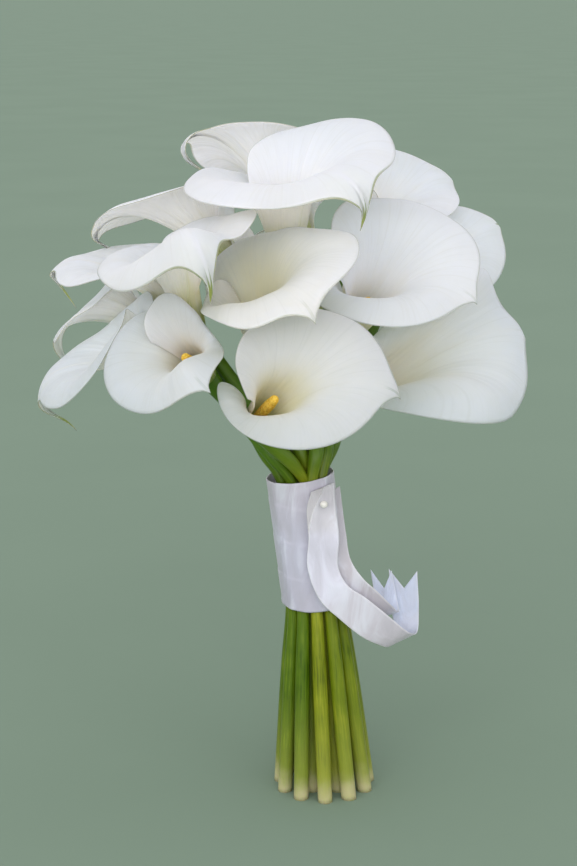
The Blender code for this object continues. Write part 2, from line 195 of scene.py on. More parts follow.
PEARL_MIDDLE = (-1.5, -23.4, 177)

# The columns and rows of the model's spathes, and the finer ones here, crowded at the tip
TURNS = (-204, -190, -168, -142, -114, -86, -58, -34, -18, -8.5, -3.2, 0,
         3.2, 8.5, 18, 34, 58, 86, 114, 142, 168, 190, 204)
ROWS = (0, .17, .34, .5, .64, .77, .89, 1.0)
FINE_SIDE = 76
FINE_ROWS = 56
FINE_STEPS = 200
FINE_CROWD = 1.5

# A petal's thickness at the neck, its share of that at the rim and where it thins, and the
# rim's soft waves: their height, their counts round, where they start, and the degrees over
# which they fade at the margins and at the tip
PETAL = 0.9
RIM_SHARE = 0.4
THIN_START = 0.45
THIN_REACH = 0.55
RIPPLE = 1.15
RIPPLE_COUNTS = (1.9, 3.1, 4.7, 7.9)
RIPPLE_START = 0.55
RIPPLE_REACH = 0.45
MARGIN_FADE = 40
TIP_FADE = 24

# The fine strand that a petal's tip runs out to: its half width in degrees, and each
# strand's length and how far it bends on over a tip's length
STRAND_SIDE = 1.9
STRANDS = {
    "front_top": (15.0, 20.0),
    "left_mid": (14.0, 0.0),
    "left_top": (22.0, -40.0),
    "left_far": (20.0, 0.0),
    "left_edge": (15.0, -60.0),
    "left_back": (10.0, 0.0),
    "back_top": (20.0, 70.0),
    "back_left": (10.0, 25.0),
    "back_mid": (8.0, 25.0),
    "back_right": (10.0, 25.0),
}
SHORT_STRAND = (2.0, 25.0)

# The camera: where it stands and what it looks at, as design values, its lens and its sensor
CAMERA_PLACE = (-21.1, -970.3, 453.7)
CAMERA_TARGET = (-21.1, 0, 211.8)
CAMERA_LENS = 74.2
CAMERA_SENSOR = 36.0

# The studio: its floor's half width and tones, its suns, each with the direction that it
# shines from, its strength, its width in degrees and its colour, and the light of the air
FLOOR_HALF = 200.0
FLOOR_TONES = ((.3, (.222, .302, .228)), (.7, (.230, .312, .236)))
SUNS = (
    ("key", (-.30, -1.0, .32), 1.50, 60, (1.0, .98, .96)),
    ("fill", (.5, -1.0, .20), .95, 80, (.97, .96, 1.0)),
    ("side", (-1.0, -.45, .05), .35, 60, (1.0, .97, .95)),
)
AIR_COLOUR = (.87, .865, .905, 1)
AIR_STRENGTH = .90


class Bloom:
    """One lily: where its neck is, where its tube aims, and how its spathe opens."""

    def __init__(self, name, mouth, aim, roll, size=1.0, hand=1, tip=1.0, curl=90.0, bends=(),
                 close=(204, 204)):
        self.name = name
        self.aim = aim
        self.roll = roll
        self.size = size
        self.hand = hand
        self.tip = tip
        self.curl = curl
        self.bends = bends
        self.close = close
        self.neck = np.array(mouth, float) - self.axes()[:, 2] * MOUTH_DEPTH * size

    def axes(self):
        """Columns: towards the tip, across, and along the tube."""
        azimuth, rise = (math.radians(a) for a in self.aim)
        along = np.array([math.sin(azimuth) * math.cos(rise),
                          -math.cos(azimuth) * math.cos(rise), math.sin(rise)])
        up = np.array([0, 0, 1.0]) - along[2] * along
        up /= np.linalg.norm(up)
        right = np.cross(up, along)
        roll = math.radians(self.roll)
        tip = up * math.cos(roll) + right * math.sin(roll)
        return np.column_stack([tip, np.cross(along, tip) * self.hand, along])


# Each bloom as it stands in the bunch: the middle of its mouth, its tube's aim as turn and
# rise, and its tip's turn clockwise from the top for someone who looks into the mouth
BLOOMS = (
    Bloom("front_low", (-20, -74, 257), (28, 35), 121, size=.91, tip=.4, curl=150, close=(214, 190),
          bends=((-145, 45, 0, -.33), (-60, 40, 0, -.04))),
    Bloom("front_mid", (-40, -36, 304), (-6, 50), 142, size=1.25, hand=-1, tip=.4, curl=150,
          close=(175, 204), bends=((0, 50, 10, -.08), (145, 45, 0, -.3), (-140, 50, 0, .2))),
    Bloom("front_top", (-22, 5, 352), (2, 58), 146, size=1.22, tip=.7, curl=120,
          bends=((180, 45, -8, .08), (-190, 45, 0, .1), (0, 60, 20, 0), (-90, 40, 6, .08),
                 (115, 45, -8, .06))),
    Bloom("right_mid", (30, -15, 304), (25, 44), 138, size=1.05, tip=.3, curl=150,
          bends=((-130, 40, 0, -.08), (0, 40, 8, -.1), (110, 40, 0, .06), (170, 35, 0, .25))),
    Bloom("right_low", (50, -11, 260), (62, 38), 113, size=1.07, tip=.4, curl=150,
          close=(176, 176),
          bends=((70, 30, 0, .26), (130, 45, -15, -.3), (-60, 35, 0, .05), (-115, 40, 0, .32),
                 (-190, 40, 0, -.3))),
    Bloom("left_low", (-82, -54, 272), (-18, 27), 130, size=.88, tip=.25, curl=170,
          bends=((65, 50, 0, -.4), (0, 25, 0, .15), (-60, 40, 0, -.03))),
    Bloom("left_mid", (-79, -28, 315), (-12, 58), 150, size=.92,
          bends=((0, 25, 10, .22), (-35, 28, 38, .2), (-75, 35, 10, 0), (80, 40, 0, .1))),
    Bloom("left_edge", (-122, 6, 261), (-85, 14), 205, size=.88,
          bends=((-120, 50, 0, -.12),)),
    Bloom("left_top", (-84, 47, 331), (-112, 44), 172, size=.88, bends=((0, 40, 20, 0),)),
    Bloom("left_far", (-109, 28, 302), (-98, 47), 200, size=.78,
          bends=((-160, 45, 0, -.2),)),
    Bloom("left_back", (-128, 48, 278), (-104, 18), 195, size=.66),
    Bloom("back_top", (-30, 62, 354), (-128, 62), 112, size=.85, curl=130),
    Bloom("right_top", (40, 52, 340), (85, 50), 120, size=.72, tip=.4, bends=((-40, 40, 10, 0),)),
    Bloom("right_far", (66, 46, 308), (68, 42), 100, size=.7, tip=.4),
    Bloom("back_left", (-56, 94, 304), (-148, 44), 180, size=.78),
    Bloom("back_mid", (12, 104, 286), (160, 32), 180, size=.78),
    Bloom("back_right", (62, 86, 250), (125, 26), 180, size=.74),
)

# The blooms that lean on each other, and the first row that counts where they do
LEANS = (
    ("front_mid", "left_mid", 3),
    ("front_mid", "left_low", 3),
    ("front_mid", "front_top", 3),
    ("front_mid", "left_top", 3),
    ("front_top", "left_top", 3),
    ("front_top", "back_top", 3),
    ("right_mid", "right_low", 1),
    ("right_low", "right_far", 3),
    ("left_low", "left_edge", 3),
    ("left_mid", "left_top", 3),
    ("left_top", "left_far", 3),
    ("left_edge", "left_back", 3),
    ("left_far", "left_back", 3),
    ("right_top", "right_far", 3),
    ("right_far", "back_right", 3),
)


def smooth(x, knots, values):
    """A smooth curve through the knots, with the slope at each taken across its neighbours."""
    knots, values = np.array(knots, float), np.array(values, float)
    slopes = np.gradient(values, knots)
    x = np.clip(x, knots[0], knots[-1])
    i = np.clip(np.searchsorted(knots, x, side="right") - 1, 0, len(knots) - 2)
    step = knots[i + 1] - knots[i]
    t = (x - knots[i]) / step
    return ((1 + 2 * t) * (1 - t) ** 2 * values[i] + t * (1 - t) ** 2 * step * slopes[i]
            + t * t * (3 - 2 * t) * values[i + 1] + t * t * (t - 1) * step * slopes[i + 1])


def eased(t):
    """0 below 0 and 1 above 1, with a soft run between them."""
    t = np.clip(t, 0, 1)
    return t * t * (3 - 2 * t)


def spathe_points(bloom, turns=TURNS, rows=ROWS, fine=64, strand=(0.0, 0.0)):
    """The spathe's middle surface as an array of rows by columns by 3, in the design frame."""
    turns = np.array(turns, float)
    length = BLOOM_LENGTH * bloom.size * smooth(turns, LENGTH_TURNS, LENGTH_SHARES)
    flare = smooth(turns, FLARE_TURNS, FLARE_DEGREES)
    start = smooth(turns, FLARE_TURNS, START_SHARES)
    lip = smooth(turns, FLARE_TURNS, LIP_DEGREES)
    for middle, width, swing, stretch in bloom.bends:
        hit = np.exp(-((turns - middle) / width) ** 2)
        flare = flare + swing * hit
        length = length * (1 + stretch * hit)
    cusp = TIP_LENGTH * bloom.tip * np.clip(1 - np.abs(turns) / TIP_SIDE, 0, 1) ** TIP_POWER
    cusp = cusp + strand[0] * np.clip(1 - np.abs(turns) / STRAND_SIDE, 0, 1)
    whole = length + cusp
    # The share of the plain length travelled, which runs past 1 on the tip
    share = np.linspace(0, 1, fine)[:, None] * (whole / length)[None, :]
    opening = np.clip((share - start) / (1 - start), 0, 1) ** OPENING_POWER
    angle = TUBE_FLARE + (flare - TUBE_FLARE) * opening + lip * eased((share - LIP_START) / LIP_REACH)
    past = np.clip(share - 1, 0, None) * length / TIP_LENGTH
    hook = bloom.curl * np.minimum(past, bloom.tip) + strand[1] * np.clip(past - bloom.tip, 0, None)
    angle = np.radians(angle + hook)
    step = whole / (fine - 1)
    out = np.cumsum(np.sin(angle) * step, axis=0)
    up = np.cumsum(np.cos(angle) * step, axis=0)
    out -= out[0]
    up -= up[0]
    picks = np.array(rows) * (fine - 1)
    low = np.clip(np.floor(picks).astype(int), 0, fine - 2)
    part = (picks - low)[:, None]
    out = out[low] * (1 - part) + out[low + 1] * part
    up = up[low] * (1 - part) + up[low + 1] * part
    out = out + TUBE_RADIUS - turns / MARGIN * MARGIN_GAP / 2
    azimuth = np.radians(turns / MARGIN * np.where(turns > 0, *bloom.close))
    local = np.stack([out * np.cos(azimuth), out * np.sin(azimuth), up], axis=-1)
    return local @ bloom.axes().T + bloom.neck


def parting_plane(one, other):
    """The plane that parts two clouds of points best, as its normal and distance."""
    cloud = np.vstack([one, other])
    middle = cloud.mean(axis=0)
    rows = np.column_stack([(cloud - middle) / PRESS_SCALE, np.ones(len(cloud))])
    side = np.concatenate([np.zeros(len(one)), np.ones(len(other))])
    weights = np.append((other.mean(axis=0) - one.mean(axis=0)) / PRESS_SCALE, 0.0)
    for _ in range(PLANE_TURNS):
        chance = 1 / (1 + np.exp(-np.clip(rows @ weights, -30, 30)))
        slope = rows.T @ (side - chance) - PLANE_EASE * weights
        bend = (rows * (chance * (1 - chance))[:, None]).T @ rows + PLANE_EASE * np.eye(4)
        weights = weights + np.linalg.solve(bend, slope)
    length = np.linalg.norm(weights[:3])
    normal = weights[:3] / length
    return normal, normal @ middle - weights[3] / length * PRESS_SCALE


def find_presses(spathes):
    """For each bloom, the planes of the neighbours that it leans on and how far it passes them."""
    presses = {name: [] for name in spathes}
    for one, other, row in LEANS:
        clouds = {name: spathes[name][row:].reshape(-1, 3) for name in (one, other)}
        normal, offset = parting_plane(clouds[one], clouds[other])
        for name, side in ((one, 1), (other, -1)):
            past = (side * (clouds[name] @ normal - offset)).max()
            if past > -PRESS_GAP:
                presses[name].append((side * normal, side * offset, past))
    return presses


def pressed(bloom, points, planes):
    """The points eased back from the bloom's planes, evenly, and not at all at the neck."""
    rise = (points - bloom.neck) @ bloom.axes()[:, 2]
    hold = eased(rise / (PRESS_HOLD * bloom.size))
    moved = points
    for normal, offset, past in planes:
        depth = np.minimum(moved @ normal - offset, past)
        reach = PRESS_REACH * past + PRESS_SOFT
        give = (past + PRESS_GAP) / (past + reach) ** 2
        move = give * np.clip(depth + reach, 0, None) ** 2 * hold
        moved = moved - move[..., None] * normal
    return moved


def directions(along):
    """A direction at length 1, and two square to it."""
    along = along / np.linalg.norm(along)
    across = np.array([1.0, 0, 0]) - along[0] * along
    across /= np.linalg.norm(across)
    return along, across, np.cross(along, across)


def lengths(points):
    """How far it is from each point of a line to the next."""
    return np.linalg.norm(np.diff(points, axis=0), axis=1)


def ring(middle, along, radius, sides, start=0.0, oval=0.0):
    """A ring of points round a middle, square to a direction."""
    along, across, other = directions(along)
    turn = np.linspace(0, 2 * np.pi, sides, endpoint=False) + start
    reach = radius * (1 + oval * np.cos(2 * turn + start))
    return middle + (reach * np.cos(turn))[:, None] * across + (reach * np.sin(turn))[:, None] * other


def tie_middle(height):
    """The middle of the wrapped stems at a height."""
    share = (height - WRAP_FOOT) / (WRAP_HEAD - WRAP_FOOT)
    return np.array(WRAP_FOOT_MIDDLE) * (1 - share) + np.array(WRAP_HEAD_MIDDLE) * share


def stem_places(blooms):
    """Each stem's place in the wrap, from its middle: the places shared out by where the necks are."""
    places = []
    for radius, count, lead in zip(RING_RADII, RING_COUNTS, RING_LEADS):
        for i in range(count):
            turn = 2 * np.pi * (i + lead) / count
            places.append([radius * np.sin(turn), -radius * np.cos(turn)])
    places = np.array(places)
    wanted = np.array([(bloom.neck[:2] - tie_middle(TIE_HEAD)) * PLACE_PULL
                       * (1 + PLACE_LOW / (bloom.neck[2] - TIE_HEAD)) for bloom in blooms])

    def miss(stem, place):
        """How far a place is from where the stem would be, squared."""
        return ((places[place] - wanted[stem]) ** 2).sum()

    order = list(range(len(blooms)))
    better = True
    while better:
        better = False
        for i in range(len(order)):
            for j in range(i + 1, len(order)):
                now = miss(i, order[i]) + miss(j, order[j])
                then = miss(i, order[j]) + miss(j, order[i])
                if then < now - 1e-6:
                    order[i], order[j] = order[j], order[i]
                    better = True
    return places[order]


def pushed(points, others, need, apart):
    """How points are pushed off others that are too near and, as apart says, on other stems."""
    gap = points[:, None] - others[None]
    far = np.sqrt((gap ** 2).sum(axis=2)) + 1e-6
    hit = np.clip(need - far, 0, None) * apart / far
    return (gap * hit[..., None]).sum(axis=1)


def free_paths(blooms, places, spathes):
    """The stems' middle lines from the tie to the necks, pushed clear of each other and the spathes."""
    share = np.linspace(0, 1, PATH_STEPS)[:, None]
    paths = []
    for bloom, place in zip(blooms, places):
        first = np.array([*(tie_middle(TIE_HEAD) + place), TIE_HEAD])
        last = bloom.neck
        reach = np.linalg.norm(last - first)
        rise = (np.array([0, 0, 1.0]) * (1 - STEM_LEAN) * reach + (last - first) * STEM_LEAN) * START_PULL
        along = bloom.axes()[:, 2] * reach * END_PULL
        paths.append((1 + 2 * share) * (1 - share) ** 2 * first + share * (1 - share) ** 2 * rise
                     + share ** 2 * (3 - 2 * share) * last + share ** 2 * (share - 1) * along)
    count = len(blooms)
    paths = np.array(paths)
    tubes = np.array([spathes[bloom.name][:TUBE_ROWS, ::2].reshape(-1, 3) for bloom in blooms])
    tube_owner = np.repeat(np.arange(count), tubes.shape[1])
    tubes = tubes.reshape(-1, 3)
    owner = np.repeat(np.arange(count), PATH_STEPS)
    # Along each path: where the stem has swelled, where it nears its neck, and where it may move
    swell = np.clip(np.linspace(0, 5, PATH_STEPS), 0, 1)
    radius = np.tile(STEM_IN_WRAP + (STEM_ABOVE - STEM_IN_WRAP) * swell, count)
    near_neck = np.tile(np.clip(np.linspace(-9, 1, PATH_STEPS), 0, 1), count)
    radius = radius + near_neck * (STEM_AT_NECK - STEM_ABOVE)
    loose = np.clip(np.minimum(np.linspace(0, 10, PATH_STEPS), np.linspace(6, 0, PATH_STEPS)), 0, 1)
    loose = np.tile(loose, count)[:, None]
    stem_need = radius[:, None] + radius[None] + STEM_CLEAR
    stem_apart = owner[:, None] != owner[None]
    tube_need = radius[:, None] + TUBE_PAD
    tube_apart = owner[:, None] != tube_owner[None]
    for turn in range(PATH_TURNS):
        flat = paths.reshape(-1, 3)
        push = pushed(flat, flat, stem_need, stem_apart) * STEM_PUSH
        push += pushed(flat, tubes, tube_need, tube_apart) * TUBE_PUSH
        paths = (flat + push * loose).reshape(count, PATH_STEPS, 3)
        middle = (paths[:, :-2] + paths[:, 2:]) / 2
        ease = PATH_EASE if turn < PATH_TURNS - LAST_TURNS else LAST_EASE
        ease = loose.reshape(count, PATH_STEPS, 1)[:, 1:-1] * ease
        paths[:, 1:-1] += (middle - paths[:, 1:-1]) * ease
    return paths


def stem_line(bloom, place, path):
    """The stations of a stem, as in the model: each a middle point and a radius."""
    foot = place * FOOT_SPREAD
    knee = tie_middle(TIE_FOOT) + place
    stations = [(*foot, 0.0, STEM_AT_FOOT),
                (*(foot * (1 - KNEE_SHARE) + knee * KNEE_SHARE), TIE_FOOT * KNEE_SHARE, STEM_ABOVE)]
    for height in (TIE_FOOT, TIE_HEAD):
        stations.append((*(tie_middle(height) + place), height, STEM_IN_WRAP))
    last = path[0]
    for i in PATH_PICKS:
        if min(np.linalg.norm(path[i] - last), np.linalg.norm(path[i] - path[-1])) < RING_GAP:
            continue
        stations.append((*path[i], STEM_ABOVE))
        last = path[i]
    along = bloom.axes()[:, 2]
    stations.append((*(path[-1] - along * CLEAR), STEM_AT_NECK))
    return np.array(stations, float)


def placed(points):
    """Points of the design frame in the scene's own, in metres."""
    return (points - np.array([*BOX_MIDDLE, 0.0])) * MM


def new_object(name, data):
    """An object of the data, linked to the scene."""
    thing = bpy.data.objects.new(name, data)
    bpy.context.scene.collection.objects.link(thing)
    return thing


def new_piece(name, mesh, materials, body="root"):
    """A smooth piece of the mesh, which rides on a body of the part."""
    for material in materials:
        mesh.materials.append(material)
    mesh.shade_smooth()
    piece = new_object(name, mesh)
    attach(piece, body)
    return piece


def thicken(piece, thickness, offset):
    """A sheet of a thickness round the piece's points, or to one side of them."""
    sheet = piece.modifiers.new("sheet", "SOLIDIFY")
    sheet.thickness = thickness * MM
    sheet.offset = offset
    return sheet


def grid_mesh(name, points, flip=False, map_points=None):
    """An open sheet through a grid of points, with a map of its columns and rows."""
    rows, columns = points.shape[:2]
    mesh = bpy.data.meshes.new(name)
    faces = [(r * columns + c, r * columns + c + 1, (r + 1) * columns + c + 1, (r + 1) * columns + c)
             for r in range(rows - 1) for c in range(columns - 1)]
    if flip:
        faces = [face[::-1] for face in faces]
    mesh.from_pydata([tuple(p) for p in placed(points).reshape(-1, 3)], [], faces)
    if map_points is None:
        across, along = np.meshgrid(np.linspace(0, 1, columns), np.linspace(0, 1, rows))
        map_points = np.stack([across, along], axis=-1)
    layer = mesh.uv_layers.new(name="petal")
    corners = np.empty(len(mesh.loops), np.int32)
    mesh.loops.foreach_get("vertex_index", corners)
    layer.data.foreach_set("uv", map_points.reshape(-1, 2)[corners].ravel())
    return mesh


def rod_mesh(name, rings, map_height=1.0):
    """A closed rod through rings of points, with a map round it and up it."""
    sides = len(rings[0])
    count = len(rings)
    mesh = bpy.data.meshes.new(name)
    faces, values = [], []
    for r in range(count - 1):
        low, high = r / (count - 1) * map_height, (r + 1) / (count - 1) * map_height
        for c in range(sides):
            after = (c + 1) % sides
            faces.append((r * sides + c, r * sides + after, (r + 1) * sides + after, (r + 1) * sides + c))
            values += [c / sides, low, (c + 1) / sides, low, (c + 1) / sides, high, c / sides, high]
    faces.append(tuple(range(sides))[::-1])
    last = (count - 1) * sides
    faces.append(tuple(range(last, last + sides)))
    mesh.from_pydata([tuple(p) for p in placed(np.vstack(rings))], [], faces)
    layer = mesh.uv_layers.new(name="petal")
    values += [.5, 0] * sides + [.5, map_height] * sides
    layer.data.foreach_set("uv", values)
    return mesh


class Nodes:
    """A material's node tree with short calls to add to it."""

    def __init__(self, name):
        self.material = bpy.data.materials.new(name)
        self.material.use_nodes = True
        self.tree = self.material.node_tree
        self.shader = self.tree.nodes["Principled BSDF"]

    def add(self, kind, inputs=None, **settings):
        node = self.tree.nodes.new("ShaderNode" + kind)
        for key, value in settings.items():
            setattr(node, key, value)
        for key, value in (inputs or {}).items():
            self.put(node, key, value)
        return node

    def put(self, node, key, value):
        if isinstance(value, bpy.types.NodeSocket):
            self.tree.links.new(value, node.inputs[key])
        else:
            node.inputs[key].default_value = value

    def set(self, **values):
        for key, value in values.items():
            self.put(self.shader, key.replace("_", " "), value)

    def math(self, operation, one, two=0.5, three=0.5):
        return self.add("Math", {0: one, 1: two, 2: three}, operation=operation).outputs[0]

    def step(self, value, low, high):
        """0 below low and 1 above high, eased between them. low may be the larger."""
        return self.add("MapRange", {"Value": value, "From Min": low, "From Max": high},
                        interpolation_type="SMOOTHSTEP").outputs[0]

    def ramp(self, value, stops):
        node = self.add("ValToRGB", {"Fac": value})
        node.color_ramp.interpolation = "EASE"
        elements = node.color_ramp.elements
        while len(elements) < len(stops):
            elements.new(.5)
        for element, (place, colour) in zip(elements, stops):
            element.position = place
            element.color = (*colour, 1)
        return node.outputs[0]

    def mix(self, share, one, two):
        node = self.add("Mix", data_type="RGBA")
        for key, value in ((0, share), (6, one), (7, two)):
            if not isinstance(value, (bpy.types.NodeSocket, float, int)):
                value = (*value, 1)
            self.put(node, key, value)
        return node.outputs[2]

    def tint(self, colour, mask, share, tone):
        """The colour with a share of a tone where the mask is."""
        return self.mix(self.math("MULTIPLY", mask, share), colour, tone)

    def where(self):
        """The place on the piece's own map."""
        return self.add("UVMap", uv_map="petal").outputs[0]

    def place(self):
        """The place in the piece's own space, in metres."""
        return self.add("TexCoord").outputs["Object"]

    def stretched(self, vector, scale):
        return self.add("Mapping", {"Vector": vector, "Scale": scale}).outputs[0]

    def noise(self, vector, scale, detail=3.0, rough=.5, warp=0.0):
        return self.add("TexNoise", {"Vector": vector, "Scale": scale, "Detail": detail,
                                     "Roughness": rough, "Distortion": warp}).outputs[0]

    def bump(self, height, depth, strength=1.0, under=None):
        """depth is in metres."""
        inputs = {"Height": height, "Distance": depth, "Strength": strength}
        if under is not None:
            inputs["Normal"] = under
        return self.add("Bump", inputs).outputs[0]


def mean(one, other):
    """The tone halfway between two tones."""
    return tuple((a + b) / 2 for a, b in zip(one, other))


def petal_map(nodes):
    """A petal's map, how far round a place is from the tip, 0 to 1, and how far up it is."""
    where = nodes.where()
    split = nodes.add("SeparateXYZ", {"Vector": where})
    side = nodes.math("ABSOLUTE", nodes.math("SUBTRACT", split.outputs[0], .5))
    return where, nodes.math("MULTIPLY", side, 2.0), split.outputs[1]


def veins(nodes, where, count, pace):
    """Fine lines that run up a petal, close together and a little uneven."""
    return nodes.noise(nodes.stretched(where, (count, pace, 1)), 1.0, detail=2.0, rough=.55)


# The petals' tones
WHITE = (.94, .945, .975)
CREAM = (.955, .91, .81)
TIP_GREEN = (.11, .19, .015)
TIP_GLOW = (.70, .80, .48)
RIM_LINE = (.27, .26, .19)
# painted shade in the soft folds inside a spathe
INSIDE_FOLD_SHADE = (.86, .82, .74)
INSIDE_VEIN = (.66, .64, .56)
OUTSIDE_RIB = (.62, .68, .40)
# painted shade along the outside's pleats
OUTSIDE_PLEAT_SHADE = (.76, .74, .64)
OUTSIDE_VEIN = (.66, .65, .52)
NECK_TONES = ((0, (.25, .38, .04)), (.12, (.46, .53, .13)), (.26, (.72, .73, .44)), (.46, (.92, .89, .78)))

# The scale of the petals' soft clouds, and their lines, each as a count round and a pace up
CLOUD = 28.0
INSIDE_LINES = (170, 2.0)
INSIDE_FOLDS = (14, .9)
INSIDE_PLEATS = (26, 1.6)
OUTSIDE_LINES = (120, 1.6)
OUTSIDE_PLEATS = (32, 1.1)


def petal_light(nodes, colour, cloud, rough, normal):
    """Soft, moist tissue that lets light through."""
    rough = nodes.math("MULTIPLY_ADD", cloud, .14, rough)
    nodes.set(Base_Color=colour, Roughness=rough, Normal=normal, Subsurface_Weight=.75,
              Subsurface_Radius=(.0075, .0066, .0050), Subsurface_Scale=1.0,
              Specular_IOR_Level=.28, Sheen_Weight=.10, Sheen_Roughness=.5)
    return nodes.material


def petal_inside(name, green, rim, deep, throat, reach):
    """The inside of a spathe: pale at the rim, and warmer and darker down the throat, partly its own
    cream and green and partly painted shade deep in the tube.
    """
    nodes = Nodes(name)
    where, side, rise = petal_map(nodes)
    cloud = nodes.noise(nodes.place(), CLOUD, detail=4.0)
    level = nodes.math("SUBTRACT", nodes.math("MULTIPLY_ADD", cloud, .22, rise), .11)
    # the throat's tones: the spathe's own cream and green, with painted shade where the tube runs deep
    colour = nodes.ramp(level, ((0, deep), (reach * .45, throat), (reach, mean(CREAM, rim)),
                                (min(reach + .25, .99), rim), (1, rim)))
    colour = green_tip(nodes, colour, side, rise, green)
    line = veins(nodes, where, *INSIDE_LINES)
    soft = nodes.noise(nodes.stretched(where, (9, 1.6, 1)), 1.0, detail=3.0)
    # soft darker streaks: painted shade in the inside's folds
    colour = nodes.tint(colour, nodes.step(soft, .48, .70), .22, INSIDE_FOLD_SHADE)
    colour = nodes.tint(colour, nodes.step(line, .50, .72), .14, INSIDE_VEIN)
    colour = rim_line(nodes, colour, rise, .5)
    normal = nodes.bump(veins(nodes, where, *INSIDE_FOLDS), .0035, .5)
    normal = nodes.bump(veins(nodes, where, *INSIDE_PLEATS), .0013, .4, normal)
    normal = nodes.bump(line, .0003, .5, normal)
    return petal_light(nodes, colour, cloud, .40, normal)


def petal_outside(name, green, rim):
    """The outside of a spathe: green at the neck, then white with faint pleats, painted shade along them,
    and green lines.
    """
    nodes = Nodes(name)
    where, side, rise = petal_map(nodes)
    cloud = nodes.noise(nodes.place(), CLOUD, detail=4.0)
    line = veins(nodes, where, *OUTSIDE_LINES)
    broad = veins(nodes, where, *OUTSIDE_PLEATS)
    level = nodes.math("MULTIPLY_ADD", line, .10, rise)
    level = nodes.math("SUBTRACT", nodes.math("MULTIPLY_ADD", cloud, .10, level), .10)
    colour = nodes.ramp(level, (*NECK_TONES, (.66, mean(CREAM, rim)), (.92, rim)))
    rib = nodes.math("MULTIPLY", nodes.step(side, .14, 0), nodes.step(rise, .2, .9))
    colour = nodes.tint(colour, rib, .16, OUTSIDE_RIB)
    # painted shade along the broad pleats
    colour = nodes.tint(colour, nodes.step(broad, .50, .72), .40, OUTSIDE_PLEAT_SHADE)
    colour = nodes.tint(colour, nodes.step(line, .50, .72), .22, OUTSIDE_VEIN)
    colour = green_tip(nodes, colour, side, rise, green)
    colour = rim_line(nodes, colour, rise, .8)
    normal = nodes.bump(broad, .0030, .6)
    normal = nodes.bump(line, .0006, .6, normal)
    return petal_light(nodes, colour, cloud, .42, normal)


def green_tip(nodes, colour, side, rise, green):
    """A green tip, and a thin green edge that runs out from it along the rim."""
    glow = nodes.math("MULTIPLY", nodes.step(side, .10, .01), nodes.step(rise, .78, .95))
    tip = nodes.math("MULTIPLY", nodes.step(side, .0055, .0035), nodes.step(rise, .88, .93))
    edge = nodes.math("MULTIPLY", nodes.step(side, .20, .04), nodes.step(rise, .988, .995))
    colour = nodes.tint(colour, glow, .18 * green, TIP_GLOW)
    colour = nodes.tint(colour, edge, .95 * green, TIP_GREEN)
    return nodes.tint(colour, tip, green, TIP_GREEN)


def rim_line(nodes, colour, rise, share):
    """A fine, darker line along a petal's very edge."""
    return nodes.tint(colour, nodes.step(rise, .992, .999), share, RIM_LINE)


def stem_skin(name, tones):
    """A smooth green stem: streaked along its length, paler towards its foot, and darker above the
    tie, painted shade where the stems run in under the blooms.
    """
    nodes = Nodes(name)
    place = nodes.place()
    height = nodes.add("SeparateXYZ", {"Vector": place}).outputs[2]
    streak = nodes.noise(nodes.stretched(nodes.where(), (26, 5, 1)), 1.0, 3.0)
    patch = nodes.noise(place, 45.0, detail=3.0)
    colour = nodes.ramp(nodes.math("MULTIPLY_ADD", patch, .5, nodes.math("MULTIPLY", streak, .5)),
                        tuple(zip((.34, .5, .66), tones)))
    uneven = nodes.math("MULTIPLY_ADD", patch, .03, height)
    colour = nodes.tint(colour, nodes.step(uneven, .085, .02), .45, (.36, .38, .07))
    colour = nodes.tint(colour, nodes.step(uneven, .034, .016), .75, (.56, .51, .30))
    # painted shade: darker green above the tie, where the stems run in under the blooms
    colour = nodes.tint(colour, nodes.step(height, .185, .21), .7, (.085, .21, .012))
    normal = nodes.bump(streak, .0005, .5)
    nodes.set(Base_Color=colour, Roughness=nodes.math("MULTIPLY_ADD", patch, .2, .26), Normal=normal,
              Subsurface_Weight=.25, Subsurface_Radius=(.0015, .0025, .0006), Subsurface_Scale=1.0,
              Specular_IOR_Level=.32)
    return nodes.material


def stem_cut():
    """The pale, fibrous cut across a stem."""
    nodes = Nodes("stem_cut")
    dots = nodes.add("TexVoronoi", {"Vector": nodes.place(), "Scale": 1500.0}).outputs[0]
    colour = nodes.ramp(dots, ((0, (.30, .34, .12)), (.4, (.52, .54, .28)), (1, (.60, .62, .36))))
    nodes.set(Base_Color=colour, Roughness=.55, Normal=nodes.bump(dots, .0003, .6))
    return nodes.material


def spadix_skin():
    """A spadix's crowded yellow florets, with painted shade in the gaps between them."""
    nodes = Nodes("spadix_skin")
    cells = nodes.add("TexVoronoi", {"Vector": nodes.place(), "Scale": 950.0, "Randomness": .6}).outputs[0]
    # yellow at each floret's middle, going to a painted brown shade in the gaps between florets
    colour = nodes.ramp(cells, ((0, (1.0, .82, .22)), (.5, (.95, .62, .07)), (1, (.55, .27, .01))))
    normal = nodes.bump(nodes.math("SUBTRACT", 1.0, cells), .0006, .9)
    nodes.set(Base_Color=colour, Roughness=.7, Normal=normal, Subsurface_Weight=.2,
              Subsurface_Radius=(.001, .0006, .0002), Subsurface_Scale=1.0)
    return nodes.material


